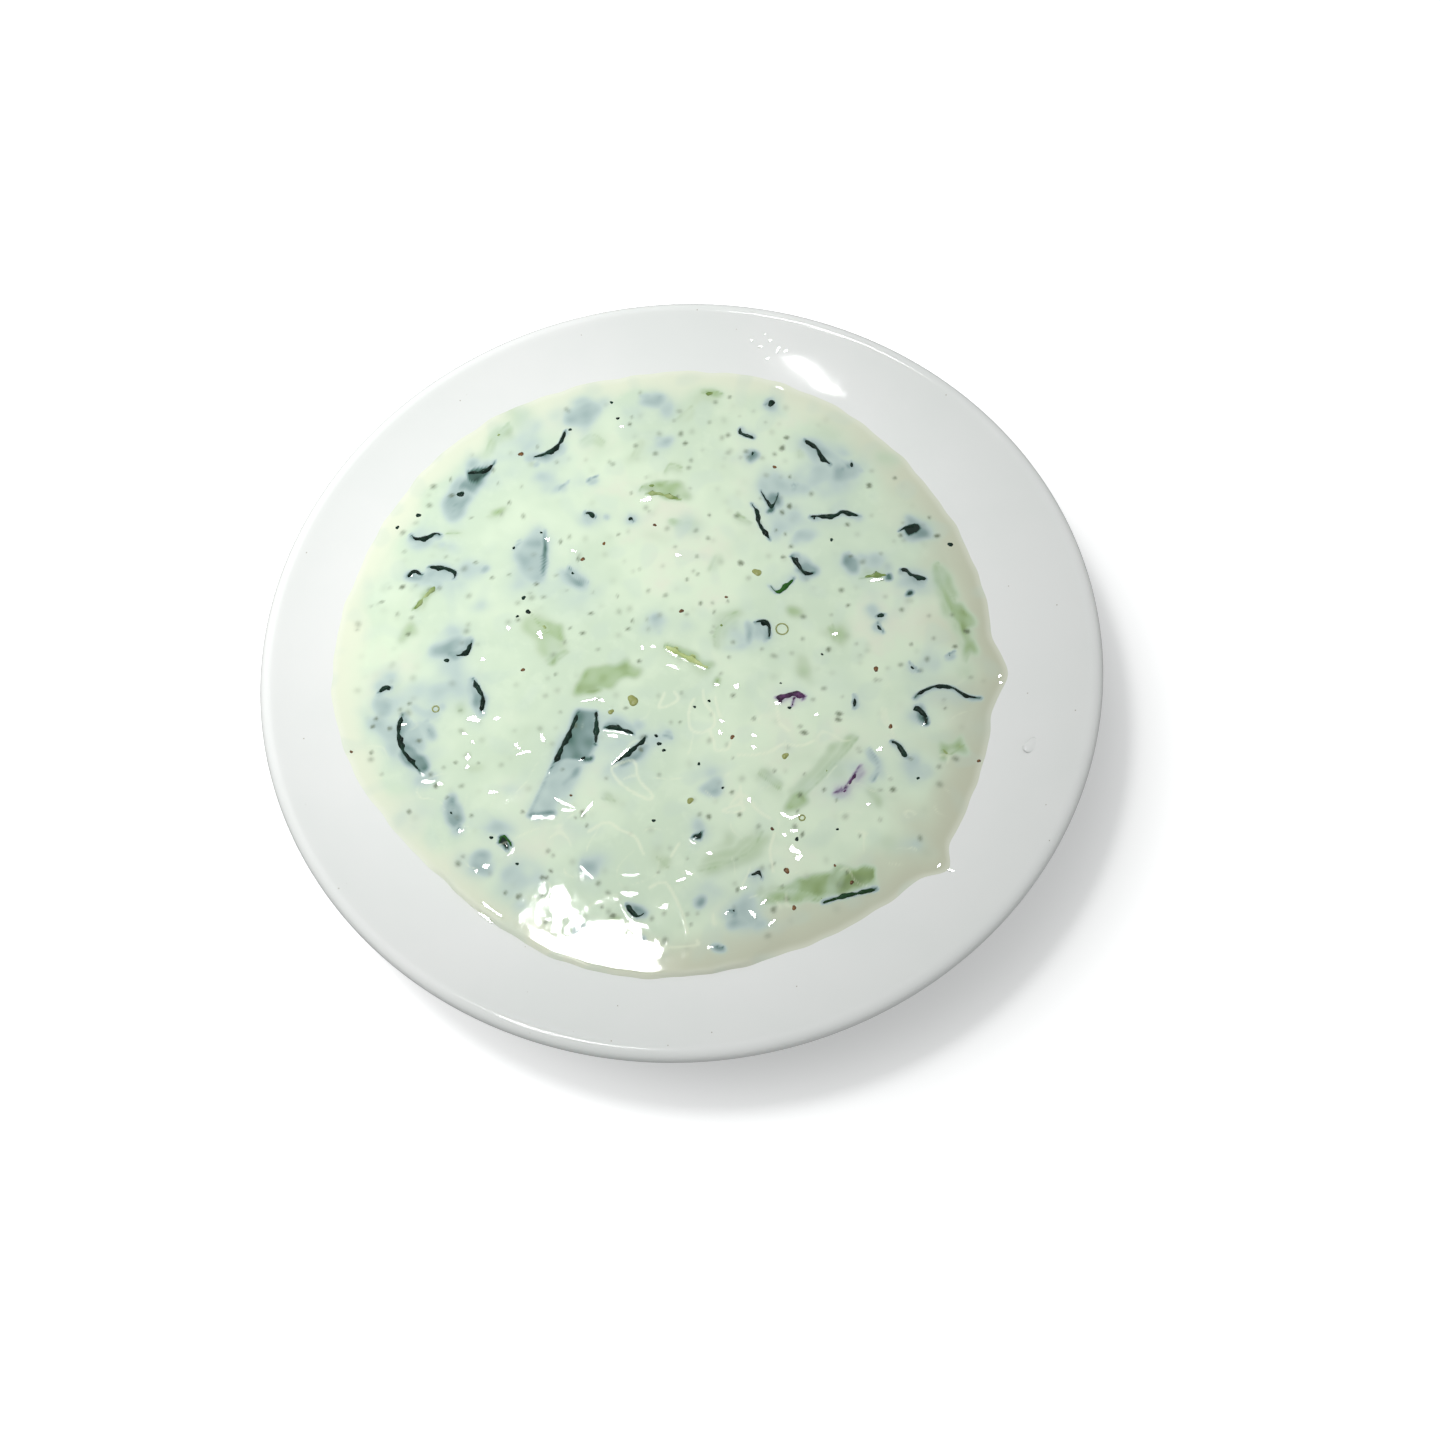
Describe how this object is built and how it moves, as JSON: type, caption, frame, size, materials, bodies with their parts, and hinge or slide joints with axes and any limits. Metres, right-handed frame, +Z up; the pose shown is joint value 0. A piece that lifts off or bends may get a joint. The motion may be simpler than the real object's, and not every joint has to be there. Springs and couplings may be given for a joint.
{
  "type": "tzatziki dip",
  "caption": "Creamy cucumber and yogurt dip with strips of green peel in a wide-rimmed round white dish on a foot ring.",
  "frame": {"origin": "middle of the foot ring, on the table", "axes": "+Z up out of the dish; +X to the right and +Y away as the dish is seen from its front"},
  "size_m": [0.18, 0.18, 0.0215],
  "materials": {
    "dish": "smooth white glaze",
    "dip": "wet, creamy, pale mint",
    "cucumber": "wet, translucent pale green",
    "peel": "damp, dark green to black",
    "onion": "damp, dark violet"
  },
  "bodies": {
    "root": {"dish": "dish", "dip": "dip", "cucumber_arc": "cucumber", "cucumber_bowed": "cucumber", "cucumber_crescent": "cucumber", "cucumber_glossy": "cucumber", "cucumber_long_slice": "cucumber", "cucumber_rind_northwest": "cucumber", "cucumber_shore": "cucumber", "cucumber_shred_west": "cucumber", "cucumber_skin_slice": "cucumber", "cucumber_stick": "cucumber", "cucumber_tip_east": "cucumber", "cucumber_wedge": "cucumber", "onion_comb": "onion", "onion_swirl": "onion", "peel_bean_east": "peel", "peel_blade_east": "peel", "peel_bow_west": "peel", "peel_check_south": "peel", "peel_crown": "peel", "peel_cup": "peel", "peel_cup_tip": "peel", "peel_curl_east": "peel", "peel_curl_west": "peel", "peel_drop_east": "peel", "peel_fold_edge": "peel", "peel_green_wedge": "peel", "peel_hook_north": "peel", "peel_hook_west": "peel", "peel_knob_west": "peel", "peel_long_fold": "peel", "peel_nib_west": "peel", "peel_ripple_east": "peel", "peel_seven_bar": "peel", "peel_seven_leg": "peel", "peel_slash_northeast": "peel", "peel_tick_southeast": "peel", "peel_vee": "peel", "peel_wave_north": "peel", "peel_wing_northwest": "peel", "peel_wire_east": "peel", "peel_zigzag_east": "peel"}
  },
  "joints": []
}
